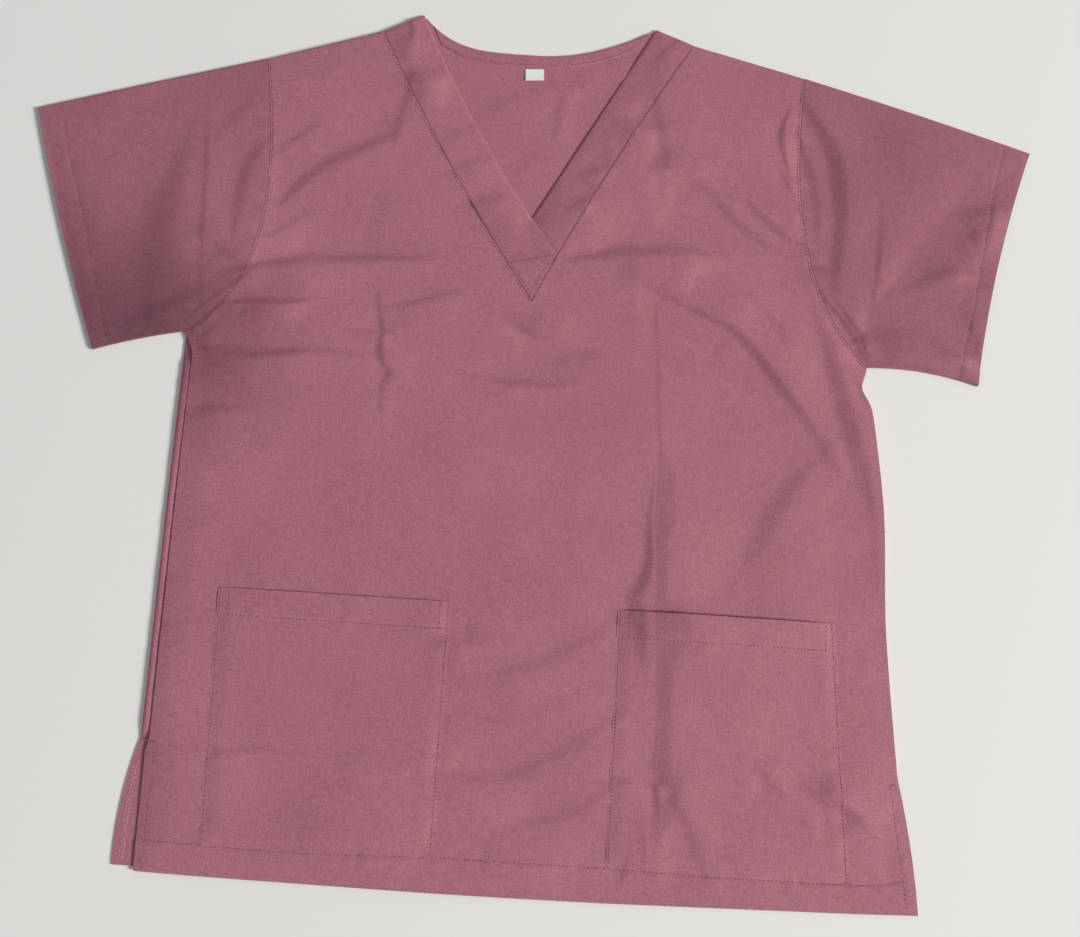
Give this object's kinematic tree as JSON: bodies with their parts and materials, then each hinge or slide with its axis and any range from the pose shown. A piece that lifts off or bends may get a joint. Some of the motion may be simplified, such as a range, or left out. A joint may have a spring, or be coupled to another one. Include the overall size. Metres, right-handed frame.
{
  "type": "scrub top",
  "caption": "Short-sleeved V-neck scrub top laid flat with its front up, with crossed neck bands, patch pockets and slits at the hem.",
  "frame": {"origin": "middle of the top's outline, on the surface that it lies on", "axes": "+X across the top to the wearer's left, +Y up to the neck, +Z out of the front"},
  "size_m": [0.8044, 0.6964, 0.0116],
  "materials": {
    "cloth": "plain woven cotton blend, matt with a slight sheen, dusty wine",
    "label": "smooth white woven tape"
  },
  "bodies": {
    "root": {"back_panel": "cloth", "front_panel": "cloth", "sleeve_right": "cloth", "sleeve_left": "cloth", "neck_band_right": "cloth", "neck_band_left": "cloth", "pocket_right": "cloth", "pocket_left": "cloth", "back_neck_facing": "cloth", "size_label": "label"}
  },
  "joints": []
}
